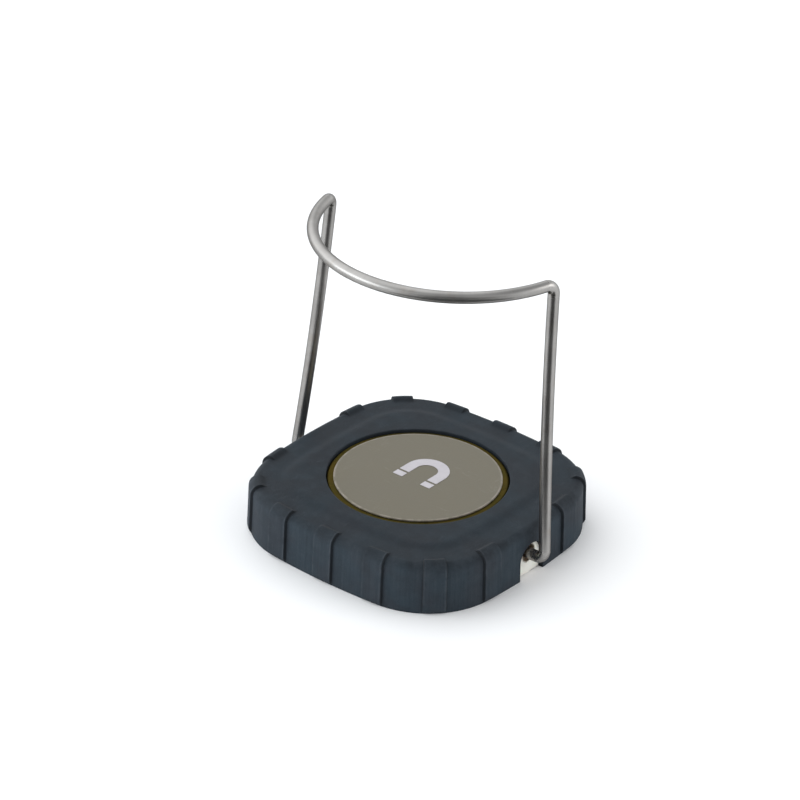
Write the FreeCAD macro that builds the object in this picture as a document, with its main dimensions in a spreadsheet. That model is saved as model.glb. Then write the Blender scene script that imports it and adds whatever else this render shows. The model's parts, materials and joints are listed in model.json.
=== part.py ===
import FreeCAD, Part
import math
import os
import Sketcher
from FreeCAD import Placement, Rotation, Vector

# Magnetic rest for a welding torch.  A round pot magnet sits in a square rubber boot, and a bent wire
# cradle folds on two pins that enter the left and right sides of the boot.
# Frame: +Z up, origin at the middle of the face that grips the workpiece, X along the cradle's hinge,
# -Y the side over which the cradle's loop reaches.  Millimetres.

SIZES = [
    # boot, outside
    ("base_half", 50.0, "half of the boot's width at mid side, at its foot"),
    ("side_radius", 250.0, "radius of each bowed side in plan"),
    ("corner_radius", 29.0, "radius of each corner in plan"),
    ("ridge_height", 18.9, "height of the flat top round the window"),
    ("ridge_inset", 13.6, "distance from the outline to the flat top"),
    ("step_width", 3.2, "width of the soft step round the flat top"),
    ("step_fall", 0.75, "height of that step"),
    ("rim_fall", 0.9, "flat top above the outer edge of the rim"),
    ("draft_inset", 0.6, "how far the wall leans in on its way up"),
    ("edge_round", 3.0, "fillet between wall and rim"),
    ("step_round", 10.0, "soft fillets at the foot and the top of the step"),
    # boot, grip pads
    ("pad_width", 8.0, "width of a grip pad"),
    ("pad_proud", 1.0, "how far a pad stands out of the boot"),
    ("pad_pitch", 20.8, "spacing of the pads along a side"),
    ("pad_reach", 4.6, "how far a pad wraps in over the top"),
    ("pad_chamfer", 1.5, "height of the chamfer at a pad's foot"),
    # boot, inside
    ("boot_wall", 3.0, "side wall"),
    ("boot_roof", 4.0, "thickness of the flat top"),
    ("lip_height", 1.2, "thickness of the inward lip under the cover"),
    ("lip_width", 2.0, "how far the lip reaches in past the wall"),
    ("notch_half", 6.2, "half width of the arched notch round a pin"),
    ("notch_rise", 4.4, "top of the notch above the pin"),
    # magnet
    ("cup_radius", 31.3, "steel cup"),
    ("cup_shoulder", 2.3, "ring of the cup that shows round the face plate"),
    ("cup_round", 0.9, "fillet of the cup's upper edge"),
    ("cup_wall", 4.3, "side of the cup"),
    ("cup_roof", 4.5, "top of the cup"),
    ("window_gap", 0.2, "gap between cup and window"),
    ("flange_width", 6.2, "how far the flange stands out of the cup"),
    ("flange_thickness", 3.0, "flange that carries the cup"),
    ("core_radius", 10.5, "centre pole"),
    ("spacer_wall", 1.5, "non-magnetic ring round the pole"),
    ("magnet_gap", 0.5, "radial gap between magnet ring and cup"),
    ("potting_recess", 0.3, "potting below the pole faces"),
    ("potting_depth", 0.8, "layer of potting over the magnet ring"),
    ("face_thickness", 0.6, "face plate on top of the cup"),
    ("face_recess", 0.3, "face plate below the boot's flat top"),
    ("face_bevel", 0.25, "bevel round the face plate"),
    # printed mark on the face plate
    ("mark_outer", 8.0, "outer radius of the horseshoe mark"),
    ("mark_inner", 4.0, "inner radius of the horseshoe mark"),
    ("mark_leg", 4.6, "straight part of its limbs"),
    ("mark_tip", 2.8, "length of its pole tips"),
    ("mark_split", 1.0, "gap between limb and tip"),
    ("mark_depth", 0.1, "thickness of the print"),
    ("mark_back", 4.5, "middle of the bow behind the plate's centre"),
    # chassis
    ("plate_thickness", 2.0, "chassis plate under the boot's top"),
    ("cover_thickness", 1.8, "bottom cover"),
    ("post_radius", 4.0, "corner post"),
    ("post_spigot", 2.5, "radius of the riveted end of a post"),
    ("post_inset", 16.5, "post centre in from the boot's foot, both ways"),
    ("fit_gap", 0.2, "clearance between parts that are slid together"),
    # screws
    ("screw_radius", 1.5, "M3 thread"),
    ("screw_head", 2.75, "M3 countersunk head"),
    ("screw_reach", 6.0, "thread below the clamped part"),
    ("core_screw_radius", 3.0, "M6 thread"),
    ("core_screw_head", 6.0, "M6 countersunk head"),
    ("core_screw_reach", 8.0, "M6 thread in the pole"),
    ("hole_gap", 0.05, "radial clearance round a screw"),
    ("socket_width", 0.75, "corner radius of a hexagon socket, as a share of the thread's radius"),
    ("socket_depth", 1.1, "depth of a hexagon socket, as a share of the thread's radius"),
    # pivots
    ("pivot_height", 8.0, "hinge axis above the working face"),
    ("notch_recess", 1.8, "face of a pivot block in from the boot's foot"),
    ("block_depth", 7.2, "pivot block, along the pin"),
    ("block_face", 3.5, "depth of the arched face of a block"),
    ("block_half", 9.0, "half length of a pivot block"),
    ("block_screw_back", 3.0, "block screws from the block's inner face"),
    ("block_screw_spread", 6.0, "block screws either side of the pin"),
    ("pin_clearance", 0.05, "radial running clearance of the pin"),
    ("relief_rim", 1.1, "how far the sunk ring round the pin stands out of the wire"),
    ("relief_depth", 1.6, "depth of that ring, so that the wire's bend can't bind"),
    ("side_play", 0.3, "gap between block and washer"),
    ("washer_rim", 2.2, "width of the friction washer's ring"),
    ("washer_thickness", 0.5, "friction washer"),
    ("clip_rim", 1.8, "width of the push-on clip's ring"),
    ("clip_thickness", 0.7, "push-on clip"),
    ("pin_stub", 1.0, "pin beyond the clip"),
    # wire cradle
    ("wire_radius", 2.0, "half of the wire's diameter"),
    ("foot_stand", 5.4, "leg's foot out from the boot's foot"),
    ("leg_lean", 7.7, "how far a leg leans in over its length"),
    ("leg_length", 98.8, "pin to the top corner"),
    ("leg_bow", 1.5, "how far the middle of a leg is pulled in"),
    ("bend_radius", 3.2, "centre line radius of the sharp bends"),
    ("loop_toe_in", 15.0, "degrees by which the loop's ends turn in"),
    ("loop_dip", 4.5, "degrees by which the loop dips below square"),
    ("rest_tilt", 4.5, "degrees the legs lean back at rest"),
]

# Levels and places that follow from them.
EDGE = "({ridge_height} - {rim_fall})"
STEP_FOOT = "({ridge_height} - {step_fall})"
CEILING = "({ridge_height} - {boot_roof})"
CUP_TOP = "({ridge_height} - {face_recess} - {face_thickness})"
FACE_TOP = "({ridge_height} - {face_recess})"
CUP_BORE = "({cup_radius} - {cup_wall})"
CUP_CEILING = "(" + CUP_TOP + " - {cup_roof})"
PLATE_TOP = "(" + CEILING + " - {fit_gap})"
PLATE_BOTTOM = "(" + PLATE_TOP + " - {plate_thickness})"
COVER_BOTTOM = "({lip_height} + {fit_gap})"
COVER_TOP = "(" + COVER_BOTTOM + " + {cover_thickness})"
INSIDE = "({boot_wall} + {fit_gap})"
RIM_END = "({ridge_inset} - {step_width})"
BLOCK_OUTER = "({base_half} - {notch_recess})"
BLOCK_INNER = "(" + BLOCK_OUTER + " - {block_depth})"
BOSS_START = "(" + BLOCK_OUTER + " - {block_face})"
WASHER_START = "(" + BLOCK_INNER + " - {side_play} - {washer_thickness})"
CLIP_START = "(" + WASHER_START + " - {clip_thickness})"
PIN_END = "(" + CLIP_START + " - {pin_stub})"
NOTCH_TOP = "({pivot_height} + {notch_rise})"
POTTING_TOP = "({potting_recess} + {potting_depth})"

doc = FreeCAD.newDocument("magnet_holder")
sheet = doc.addObject("Spreadsheet::Sheet", "sizes")
for row, (alias, value, note) in enumerate(SIZES, start=1):
    sheet.set("A%d" % row, note)
    sheet.set("B%d" % row, str(value))
    sheet.setAlias("B%d" % row, alias)
doc.recompute()


def link(text):
    """Expression on the sheet's cells; each alias is written in braces."""
    return text.replace("{", "sizes.").replace("}", "")


def size(text):
    """Value of such an expression."""
    result = sheet.evalExpression(link(text))
    return float(getattr(result, "Value", result))


def bind(obj, **links):
    """Tie properties to the sheet; a double underscore stands for a dot."""
    for prop, text in links.items():
        obj.setExpression(prop.replace("__", "."), link(text))
    return obj


def move(obj, x="0", y="0", z="0"):
    return bind(obj, Placement__Base__x=x, Placement__Base__y=y, Placement__Base__z=z)


def cylinder(name, radius, height, **place):
    return move(bind(doc.addObject("Part::Cylinder", name), Radius=radius, Height=height), **place)


def cross_cylinder(name, radius, height, **place):
    """A cylinder that lies along +X."""
    obj = doc.addObject("Part::Cylinder", name)
    obj.Placement = Placement(Vector(), Rotation(Vector(0, 1, 0), 90))
    return move(bind(obj, Radius=radius, Height=height), **place)


def box(name, length, width, height, **place):
    return move(bind(doc.addObject("Part::Box", name), Length=length, Width=width, Height=height), **place)


def cut(name, base, tool):
    obj = doc.addObject("Part::Cut", name)
    obj.Base, obj.Tool = base, tool
    return obj


def fuse(name, *shapes):
    obj = doc.addObject("Part::MultiFuse", name)
    obj.Shapes = list(shapes)
    return obj


def group(name, shapes):
    """Like pieces in one node, each still a solid of its own."""
    obj = doc.addObject("Part::Compound", name)
    obj.Links = list(shapes)
    return obj


def ring(name, outer, inner, height, **place):
    """A washer, from two cylinders."""
    return cut(name, cylinder(name + "_disc", outer, height, **place),
               cylinder(name + "_bore", inner, height, **place))


# ---------------------------------------------------------------- plan outline of the boot

def corner_centre():
    """Distance of each corner's centre from the middle planes, and the half angle of a side."""
    back = size("{side_radius} - {base_half}")
    reach = size("{side_radius} - {corner_radius}")
    place = (math.sqrt(2 * reach ** 2 - back ** 2) - back) / 2
    return place, math.asin(place / reach)


def bowed_square(name, height, inset):
    """Sketch of the plan outline, moved in by inset: four bowed sides and four corners, all tangent."""
    sketch = move(doc.addObject("Sketcher::SketchObject", name), z=height)
    back = size("{side_radius} - {base_half}")
    side, corner = size("{side_radius} - (%s)" % inset), size("{corner_radius} - (%s)" % inset)
    place, half = corner_centre()
    up = Vector(0, 0, 1)
    for quarter in range(4):
        turn = quarter * math.pi / 2
        middle = Vector(-back * math.cos(turn), -back * math.sin(turn), 0)
        sketch.addGeometry(Part.ArcOfCircle(Part.Circle(middle, up, side), turn - half, turn + half))
        diagonal = turn + math.pi / 4
        far = place * math.sqrt(2)
        middle = Vector(far * math.cos(diagonal), far * math.sin(diagonal), 0)
        sketch.addGeometry(Part.ArcOfCircle(Part.Circle(middle, up, corner), turn + half,
                                            turn + math.pi / 2 - half))
    for arc in range(8):
        sketch.addConstraint(Sketcher.Constraint("Tangent", arc, 2, (arc + 1) % 8, 1))
    centre_links = (("DistanceX", False), ("DistanceY", False), ("DistanceX", True), ("DistanceY", True))
    for quarter, (kind, beyond) in enumerate(centre_links):
        arc = 2 * quarter
        sketch.addConstraint(Sketcher.Constraint("PointOnObject", arc, 3, -1 if kind == "DistanceX" else -2))
        ends = (-1, 1, arc, 3) if beyond else (arc, 3, -1, 1)
        number = sketch.addConstraint(Sketcher.Constraint(kind, *ends, back))
        bind(sketch, **{"Constraints[%d]" % number: "{side_radius} - {base_half}"})
    for first, radius in ((0, "{side_radius}"), (1, "{corner_radius}")):
        number = sketch.addConstraint(Sketcher.Constraint("Radius", first, size(radius + " - (%s)" % inset)))
        bind(sketch, **{"Constraints[%d]" % number: radius + " - (%s)" % inset})
        for other in range(first + 2, 8, 2):
            sketch.addConstraint(Sketcher.Constraint("Equal", first, other))
    return sketch


def round_edges(name, base, height, radius):
    """Fillet on the edges that lie flat at a height."""
    doc.recompute()
    level = size(height)
    numbers = [i + 1 for i, edge in enumerate(base.Shape.Edges)
               if abs(edge.BoundBox.ZMin - level) < 0.01 and abs(edge.BoundBox.ZMax - level) < 0.01]
    fillet = doc.addObject("Part::Fillet", name)
    fillet.Base = base
    fillet.Edges = [(number, size(radius), size(radius)) for number in numbers]
    return fillet


def outer_form(name, levels):
    """Solid with the plan outline at each level of height and inset."""
    loft = doc.addObject("Part::Loft", name)
    loft.Sections = [bowed_square("%s_level_%d" % (name, i), height, inset)
                     for i, (height, inset) in enumerate(levels)]
    loft.Solid = True
    loft.Ruled = True
    return loft


def slab(name, inset, bottom, top):
    """Flat plate with the plan outline, moved in by inset."""
    plate = doc.addObject("Part::Extrusion", name)
    plate.Base = bowed_square(name + "_outline", bottom, inset)
    plate.DirMode = "Normal"
    plate.Solid = True
    return bind(plate, LengthFwd="(%s) - (%s)" % (top, bottom))


def arch(name, half, top, start, length, foot):
    """Arched opening along +X: straight sides and a half-round top."""
    spring = "(%s) - (%s)" % (top, half)
    lower = box(name + "_legs", length, "2 * (%s)" % half, "(%s) - (%s)" % (spring, foot),
                x=start, y="-(%s)" % half, z=foot)
    return fuse(name, lower, cross_cylinder(name + "_crown", half, length, x=start, z=spring))


# ---------------------------------------------------------------- screws

def countersunk(name, x, y, z, radius, head, length, down):
    """Countersunk screw with a hexagon socket; its head is flush at z and its thread points down or up."""
    turn = Rotation(Vector(1, 0, 0), 180 if down else 0)
    pieces = [bind(doc.addObject("Part::Cone", name + "_head"), Radius1=head, Radius2=radius,
                   Height="(%s) - (%s)" % (head, radius)),
              bind(doc.addObject("Part::Cylinder", name + "_thread"), Radius=radius, Height=length)]
    socket = bind(doc.addObject("Part::Prism", name + "_socket"),
                  Circumradius="{socket_width} * (%s)" % radius, Height="{socket_depth} * (%s)" % radius)
    for piece in pieces + [socket]:
        piece.Placement = Placement(Vector(), turn)
        move(piece, x=x, y=y, z=z)
    return cut(name, fuse(name + "_blank", *pieces), socket)


def screw_hole(name, x, y, z, radius, head, length, down):
    """The space that such a screw needs."""
    turn = Rotation(Vector(1, 0, 0), 180 if down else 0)
    wide, narrow = "(%s) + {hole_gap}" % head, "(%s) + {hole_gap}" % radius
    pieces = [bind(doc.addObject("Part::Cone", name + "_sink"), Radius1=wide, Radius2=narrow,
                   Height="(%s) - (%s)" % (head, radius)),
              bind(doc.addObject("Part::Cylinder", name + "_bore"), Radius=narrow,
                   Height="(%s) + {fit_gap}" % length)]
    for piece in pieces:
        piece.Placement = Placement(Vector(), turn)
        move(piece, x=x, y=y, z=z)
    return fuse(name, *pieces)


SIGNS = ((1, 1), (-1, 1), (-1, -1), (1, -1))


def screw_set(name, places, z, length, down):
    """Node of M3 screws at the places; returns one tool that cuts all their holes."""
    kind = ("{screw_radius}", "{screw_head}", length, down)
    screws = [countersunk("%s_%d" % (name, i), x, y, z, *kind) for i, (x, y) in enumerate(places)]
    holes = [screw_hole("%s_hole_%d" % (name, i), x, y, z, *kind) for i, (x, y) in enumerate(places)]
    group(name, screws)
    return fuse(name + "_holes", *holes)


def signed(sign, text):
    return text if sign > 0 else "-(%s)" % text


# ---------------------------------------------------------------- boot

def pad_block(name, x, y, radius, angle):
    """Block that keeps one grip pad: it looks out along angle from a centre of the plan outline."""
    block = bind(doc.addObject("Part::Box", name), Length="{pad_reach} + 3 * {pad_proud}",
                 Width="{pad_width}", Height="2 * {ridge_height}")
    turn = Rotation(Vector(0, 0, 1), angle)
    start = Vector(radius - size("{pad_reach}"), -size("{pad_width}") / 2, 0)
    block.Placement = Placement(Vector(x, y, 0) + turn.multVec(start), turn)
    return block


def grip_pads():
    """Fourteen pads: one on each corner, three on the front and back, two on the sides with the notches."""
    levels = [("0", "0"), ("{pad_chamfer}", "-{pad_proud}"),
              (EDGE + " + {pad_proud}", "{draft_inset} - {pad_proud}"),
              (STEP_FOOT + " + {pad_proud}", RIM_END)]
    form = round_edges("pad_form", outer_form("pad_loft", levels), EDGE + " + {pad_proud}",
                       "{edge_round} + {pad_proud}")
    back = size("{side_radius} - {base_half}")
    lean = math.degrees(math.asin(size("{pad_pitch} / {side_radius}")))
    place, _ = corner_centre()
    blocks = []
    for quarter in range(4):
        turn = math.radians(90 * quarter)
        for step in (-1, 1) if quarter % 2 == 0 else (-1, 0, 1):
            blocks.append(pad_block("pad_block_%d_%d" % (quarter, step + 1),
                                    -back * math.cos(turn), -back * math.sin(turn),
                                    size("{side_radius}"), 90 * quarter + step * lean))
        sign_x, sign_y = SIGNS[quarter]
        blocks.append(pad_block("pad_block_%d_corner" % quarter, sign_x * place, sign_y * place,
                                size("{corner_radius}"), 90 * quarter + 45))
    pads = doc.addObject("Part::Common", "grip_pads")
    pads.Base, pads.Tool = form, fuse("pad_blocks", *blocks)
    return pads


def rubber_boot():
    """Hollow boot: a low rim round a flat top, with a round window, raised pads and a notch for each pin."""
    form = outer_form("boot_loft", [("0", "0"), (EDGE, "{draft_inset}"), (STEP_FOOT, RIM_END),
                                    ("{ridge_height}", "{ridge_inset}")])
    for name, level, radius in (("boot_edge", EDGE, "{edge_round}"),
                                ("boot_foot", STEP_FOOT, "{step_round}"),
                                ("boot_form", "{ridge_height}", "{step_round}")):
        form = round_edges(name, form, level, radius)
    solid = fuse("boot_solid", form, grip_pads())
    notch = arch("notch", "{notch_half}", NOTCH_TOP, "-2 * {base_half}", "4 * {base_half}", "-1")
    hollow = fuse("boot_hollow",
                  slab("boot_cavity", "{boot_wall}", "{lip_height}", CEILING),
                  slab("boot_mouth", "{boot_wall} + {lip_width}", "-1", "{lip_height} + 1"),
                  cylinder("boot_window", "{cup_radius} + {window_gap}", "2 * {ridge_height}"), notch)
    return cut("rubber_boot", solid, hollow)


# ---------------------------------------------------------------- magnet

def magnet_cup(flange_holes):
    """Inverted steel cup with a rounded upper edge and a flange under the chassis plate."""
    blank = cylinder("cup_blank", "{cup_radius}", CUP_TOP)
    rounded = round_edges("cup_rounded", blank, CUP_TOP, "{cup_round}")
    flange = cylinder("cup_flange", "{cup_radius} + {flange_width}", "{flange_thickness}",
                      z=PLATE_BOTTOM + " - {flange_thickness}")
    room = cylinder("cup_room", CUP_BORE, CUP_CEILING)
    sink = screw_hole("cup_sink", "0", "0", CUP_TOP, "{core_screw_radius}", "{core_screw_head}",
                      CUP_TOP, True)
    return cut("magnet_cup", fuse("cup_solid", rounded, flange),
               fuse("cup_openings", room, sink, flange_holes))


def magnet_parts():
    bore = "{core_radius} + {spacer_wall}"
    depth = CUP_CEILING + " - " + POTTING_TOP
    ring("ring_magnet", CUP_BORE + " - {magnet_gap}", bore, depth, z=POTTING_TOP)
    ring("core_spacer", bore, "{core_radius}", depth, z=POTTING_TOP)
    ring("potting_ring", CUP_BORE, "{core_radius}", "{potting_depth}", z="{potting_recess}")
    tapped = cylinder("core_thread", "{core_screw_radius} + {hole_gap}", "{core_screw_reach} + {fit_gap}",
                      z=CUP_CEILING + " - {core_screw_reach} - {fit_gap}")
    cut("pole_core", cylinder("core_blank", "{core_radius}", CUP_CEILING), tapped)
    countersunk("core_screw", "0", "0", CUP_TOP, "{core_screw_radius}", "{core_screw_head}",
                "{cup_roof} + {core_screw_reach}", True)


def face_plate():
    """Thin round plate on the cup's flat top, bevelled round its upper edge."""
    radius = "{cup_radius} - {cup_shoulder}"
    lower = cylinder("face_lower", radius, "{face_thickness} - {face_bevel}", z=CUP_TOP)
    upper = bind(doc.addObject("Part::Cone", "face_upper"), Radius1=radius,
                 Radius2=radius + " - {face_bevel}", Height="{face_bevel}")
    move(upper, z=FACE_TOP + " - {face_bevel}")
    fuse("face_plate", lower, upper)


def face_mark():
    """Plain horseshoe pictogram: a bow with two limbs, and a tip beyond each limb."""
    width = "{mark_outer} - {mark_inner}"
    bow = cut("mark_bow", cylinder("mark_disc", "{mark_outer}", "{mark_depth}", y="{mark_back}", z=FACE_TOP),
              cylinder("mark_hole", "{mark_inner}", "{mark_depth}", y="{mark_back}", z=FACE_TOP))
    front = box("mark_front", "2 * {mark_outer}", "{mark_outer}", "{mark_depth}",
                x="-{mark_outer}", y="{mark_back} - {mark_outer}", z=FACE_TOP)
    limbs, tips = [], []
    for side, left in (("left", "-{mark_outer}"), ("right", "{mark_inner}")):
        limbs.append(box("mark_limb_" + side, width, "{mark_leg}", "{mark_depth}",
                         x=left, y="{mark_back} - {mark_leg}", z=FACE_TOP))
        tips.append(box("mark_tip_" + side, width, "{mark_tip}", "{mark_depth}",
                        x=left, y="{mark_back} - {mark_leg} - {mark_split} - {mark_tip}", z=FACE_TOP))
    group("face_mark", [fuse("mark_horseshoe", cut("mark_half", bow, front), *limbs)] + tips)


# ---------------------------------------------------------------- chassis

def chassis():
    """Plate, posts, cover and their screws.  Returns the tools that drill the flange and the blocks."""
    post, circle = "({base_half} - {post_inset})", "({cup_radius} + {flange_width} / 2)"
    posts_at = [(signed(a, post), signed(b, post)) for a, b in SIGNS]
    flange_at = [(signed(a, circle + " * cos(45 deg)"), signed(b, circle + " * sin(45 deg)"))
                 for a, b in SIGNS]
    blocks_at = [(signed(a, BLOCK_INNER + " + {block_screw_back}"), signed(b, "{block_screw_spread}"))
                 for a, b in SIGNS]
    flange_holes = screw_set("flange_screws", flange_at, PLATE_TOP,
                             "{plate_thickness} + {flange_thickness}", True)
    block_holes = screw_set("block_screws", blocks_at, PLATE_TOP, "{plate_thickness} + {screw_reach}", True)
    cover_holes = screw_set("cover_screws", posts_at, COVER_BOTTOM,
                            "{cover_thickness} + {screw_reach}", False)
    opening = cylinder("plate_opening", "{cup_radius} + {fit_gap}", "2 * {ridge_height}")
    posts, spigots = [], []
    for i, (x, y) in enumerate(posts_at):
        barrel = cylinder("post_barrel_%d" % i, "{post_radius}", PLATE_BOTTOM + " - " + COVER_TOP,
                          x=x, y=y, z=COVER_TOP)
        spigot = cylinder("post_spigot_%d" % i, "{post_spigot}", PLATE_TOP + " - " + COVER_TOP,
                          x=x, y=y, z=COVER_TOP)
        spigots.append(spigot)
        posts.append(cut("post_%d" % i, fuse("post_blank_%d" % i, barrel, spigot), cover_holes))
    group("corner_posts", posts)
    cut("chassis_plate", slab("plate_blank", INSIDE, PLATE_BOTTOM, PLATE_TOP),
        fuse("plate_holes", opening, flange_holes, block_holes, *spigots))
    start = BOSS_START + " - {fit_gap}"
    notches = [box("cover_notch_" + side, "{base_half}", "2 * {notch_half}", "{ridge_height}",
                   x=x, y="-{notch_half}") for side, x in
               (("right", start), ("left", "-(%s) - {base_half}" % start))]
    clear = cylinder("cover_opening", "{cup_radius} + {fit_gap}", "{ridge_height}")
    cut("bottom_cover", slab("cover_blank", INSIDE, COVER_BOTTOM, COVER_TOP),
        fuse("cover_holes", clear, cover_holes, *notches))
    return flange_holes, block_holes


# ---------------------------------------------------------------- pivots

def along(sign, start, reach):
    """X of a run that starts at start on the right side, or of its mirror image on the left."""
    return start if sign > 0 else "-(%s) - (%s)" % (start, reach)


def pivot_block(side, sign, block_holes):
    """Bearing block behind a notch, with an arched face that fills it."""
    name = "pivot_block_" + side
    depth = "{base_half} - {boot_wall} - 2 * {fit_gap} - " + BLOCK_INNER
    body = box(name + "_body", depth, "2 * {block_half}", PLATE_BOTTOM + " - " + COVER_TOP + " - {fit_gap}",
               x=along(sign, BLOCK_INNER, depth), y="-{block_half}", z=COVER_TOP + " + {fit_gap}")
    boss = arch(name + "_boss", "{notch_half} - {fit_gap}", NOTCH_TOP + " - {fit_gap}",
                along(sign, BOSS_START, "{block_face}"), "{block_face}", "2 * {fit_gap}")
    bore = cross_cylinder(name + "_bore", "{wire_radius} + {pin_clearance}", "{base_half}",
                          x=along(sign, PIN_END, "{base_half}"), z="{pivot_height}")
    start = BLOCK_OUTER + " - {relief_depth}"
    relief = cross_cylinder(name + "_relief", "{wire_radius} + {relief_rim}", "{relief_depth}",
                            x=along(sign, start, "{relief_depth}"), z="{pivot_height}")
    return cut(name, fuse(name + "_blank", body, boss), fuse(name + "_holes", bore, relief, block_holes))


def pin_hardware(side, sign):
    """Friction washer and push-on clip on the pin, inside the block."""
    for kind, rim, thickness, start in (
            ("friction_washer_", "{washer_rim}", "{washer_thickness}", WASHER_START),
            ("pin_clip_", "{clip_rim}", "{clip_thickness}", CLIP_START)):
        name, x = kind + side, along(sign, start, thickness)
        disc = cross_cylinder(name + "_disc", "{wire_radius} + " + rim, thickness, x=x, z="{pivot_height}")
        cut(name, disc, cross_cylinder(name + "_bore", "{wire_radius}", thickness, x=x, z="{pivot_height}"))


# ---------------------------------------------------------------- wire cradle

def bent_path(points, radii):
    """Straight runs through the points, each inner corner replaced by a tangent arc of its radius."""
    edges, start = [], points[0]
    for before, corner, after, radius in zip(points, points[1:], points[2:], radii):
        inward = (before - corner).normalize()
        outward = (after - corner).normalize()
        half = inward.getAngle(outward) / 2
        run = radius / math.tan(half)
        entry, leave = corner + inward * run, corner + outward * run
        middle = corner + (inward + outward).normalize() * (radius / math.sin(half) - radius)
        edges += [Part.LineSegment(start, entry).toShape(), Part.Arc(entry, middle, leave).toShape()]
        start = leave
    edges.append(Part.LineSegment(start, points[-1]).toShape())
    return Part.Wire(edges)


def wire_cradle():
    """One bent wire: pins that point in, two bowed legs and a loop that reaches forward."""
    foot, length = size("{base_half} + {foot_stand}"), size("{leg_length}")
    top = foot - size("{leg_lean}")
    bend, bow = size("{bend_radius}"), size("{leg_bow}")
    toe, dip = math.radians(size("{loop_toe_in}")), math.radians(size("{loop_dip}"))
    reach = top / math.tan(toe)
    right = [Vector(size(PIN_END), 0, 0), Vector(foot, 0, 0), Vector((foot + top) / 2 - bow, 0, length / 2),
             Vector(top, 0, length)]
    meeting = Vector(0, -reach * math.cos(dip), length - reach * math.sin(dip))
    left = [Vector(-point.x, point.y, point.z) for point in reversed(right)]
    points = right + [meeting] + left
    # the loop's arc begins a short straight after the bend at the top corner
    leg = (right[2] - right[3]).normalize()
    first_run = (meeting - right[3]).normalize()
    used = bend / math.tan(leg.getAngle(first_run) / 2)
    opening = (right[3] - meeting).getAngle(left[0] - meeting)
    straight = bend / 10
    loop_radius = ((meeting - right[3]).Length - used - straight) * math.tan(opening / 2)
    # each leg is one long arc, which leaves a short straight beside its bends
    knee = (right[1] - right[2]).getAngle(right[3] - right[2])
    leg_radius = ((right[3] - right[2]).Length - 2 * bend) * math.tan(knee / 2)
    radii = [bend, leg_radius, bend, loop_radius, bend, leg_radius, bend]
    path = bent_path(points, radii)
    profile = Part.Wire(Part.Circle(points[0], Vector(1, 0, 0), size("{wire_radius}")).toShape())
    wire = path.makePipeShell([profile], True, False)
    obj = doc.addObject("Part::Feature", "wire_cradle")
    obj.Shape = wire
    obj.Placement = Placement(Vector(0, 0, size("{pivot_height}")),
                              Rotation(Vector(1, 0, 0), -size("{rest_tilt}")))
    print("cradle: loop radius %.2f, leg radius %.0f, wire length %.1f, volume ratio %.4f" % (
        loop_radius, leg_radius, path.Length,
        wire.Volume / (math.pi * size("{wire_radius}") ** 2 * path.Length)))
    return obj


# ---------------------------------------------------------------- build and write

flange_tool, block_tool = chassis()
rubber_boot()
magnet_cup(flange_tool)
magnet_parts()
face_plate()
face_mark()
for side_name, side_sign in (("right", 1), ("left", -1)):
    pivot_block(side_name, side_sign, block_tool)
    pin_hardware(side_name, side_sign)
wire_cradle()
doc.recompute()

NODES = ["rubber_boot", "magnet_cup", "ring_magnet", "core_spacer", "potting_ring", "pole_core",
         "core_screw", "face_plate", "face_mark", "chassis_plate", "corner_posts", "bottom_cover",
         "flange_screws", "block_screws", "cover_screws", "pivot_block_right", "pivot_block_left",
         "friction_washer_right", "friction_washer_left", "pin_clip_right", "pin_clip_left",
         "wire_cradle"]

broken = [obj.Name for obj in doc.Objects if "Invalid" in obj.State or "Error" in obj.State]
if broken:
    raise RuntimeError("objects that failed: " + ", ".join(broken))
for node in NODES:
    shape = doc.getObject(node).Shape
    if shape.isNull() or not shape.isValid() or not shape.Solids:
        raise RuntimeError("bad shape in " + node)
os.makedirs("parts", exist_ok=True)
for node in NODES:
    doc.getObject(node).Label = node
    doc.getObject(node).Shape.exportStep("parts/%s.step" % node)
    print("%-22s %d solids, %9.1f mm3" % (node, len(doc.getObject(node).Shape.Solids),
                                         doc.getObject(node).Shape.Volume))
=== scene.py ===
"""Looks of a magnetic torch rest: a rubber-booted pot magnet with a hinged cradle of bent wire."""

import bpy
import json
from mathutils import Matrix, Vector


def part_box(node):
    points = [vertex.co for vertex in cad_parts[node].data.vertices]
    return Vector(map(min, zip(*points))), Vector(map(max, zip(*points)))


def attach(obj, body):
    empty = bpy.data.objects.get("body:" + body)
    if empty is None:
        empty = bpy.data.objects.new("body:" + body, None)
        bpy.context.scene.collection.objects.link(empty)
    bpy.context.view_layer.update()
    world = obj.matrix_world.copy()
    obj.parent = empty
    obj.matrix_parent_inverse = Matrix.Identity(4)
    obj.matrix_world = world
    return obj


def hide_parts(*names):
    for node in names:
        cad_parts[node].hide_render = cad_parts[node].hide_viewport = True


bl_info = {
    "name": "Magnet Holder",
    "version": (1, 0, 0),
    "blender": (4, 5, 0),
    "location": "3D Viewport > Sidebar > Magnet Holder",
    "description": "Builds the boot, face plate, cradle and finishes of a magnetic torch rest",
    "category": "Add Mesh",
}

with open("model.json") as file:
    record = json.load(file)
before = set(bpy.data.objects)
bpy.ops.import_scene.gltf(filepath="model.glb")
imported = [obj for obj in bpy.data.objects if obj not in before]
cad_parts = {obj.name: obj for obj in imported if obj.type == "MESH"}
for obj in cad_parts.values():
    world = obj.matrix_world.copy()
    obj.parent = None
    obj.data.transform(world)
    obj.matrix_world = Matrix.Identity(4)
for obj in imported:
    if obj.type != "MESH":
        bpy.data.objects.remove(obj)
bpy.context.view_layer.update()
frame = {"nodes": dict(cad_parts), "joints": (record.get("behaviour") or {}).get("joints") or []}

import json
import math

import bmesh
import bpy
from mathutils import Matrix, Vector

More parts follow.
